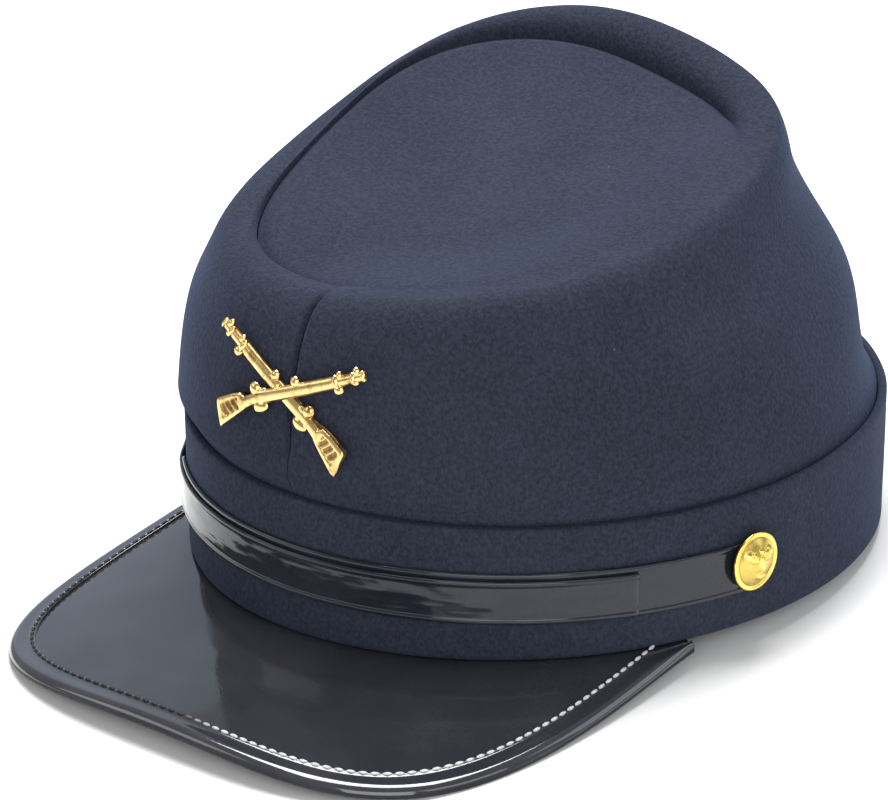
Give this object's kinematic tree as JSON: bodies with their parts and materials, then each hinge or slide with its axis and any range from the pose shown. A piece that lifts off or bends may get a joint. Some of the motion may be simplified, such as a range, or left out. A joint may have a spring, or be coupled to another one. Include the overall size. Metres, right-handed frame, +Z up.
{
  "type": "forage cap",
  "caption": "Soft wool forage cap with a forward-leaning sunken crown, upright band, glossy bound peak, overlapping chin strap, domed side buttons and a crossed-rifles badge.",
  "frame": {"origin": "the floor under the middle of the cap, which rests on the edge of its peak and the back of its band", "axes": "+Z up, -Y towards the front of the peak, +X towards the wearer's left"},
  "size_m": [0.1794, 0.2458, 0.1255],
  "materials": {
    "crown_wool": "matte brushed wool",
    "top_wool": "matte brushed wool",
    "band_wool": "matte brushed wool",
    "peak_leather": "glossy patent",
    "binding_leather": "glossy patent",
    "strap_leather": "glossy patent",
    "button_brass": "polished",
    "badge_brass": "polished, worn"
  },
  "bodies": {
    "root": {"crown_left": "crown_wool", "crown_right": "crown_wool", "crown_top": "top_wool", "band": "band_wool", "peak": "peak_leather", "peak_binding": "binding_leather", "strap_under": "strap_leather", "strap_over": "strap_leather", "button_left": "button_brass", "button_right": "button_brass", "badge": "badge_brass"}
  },
  "joints": []
}
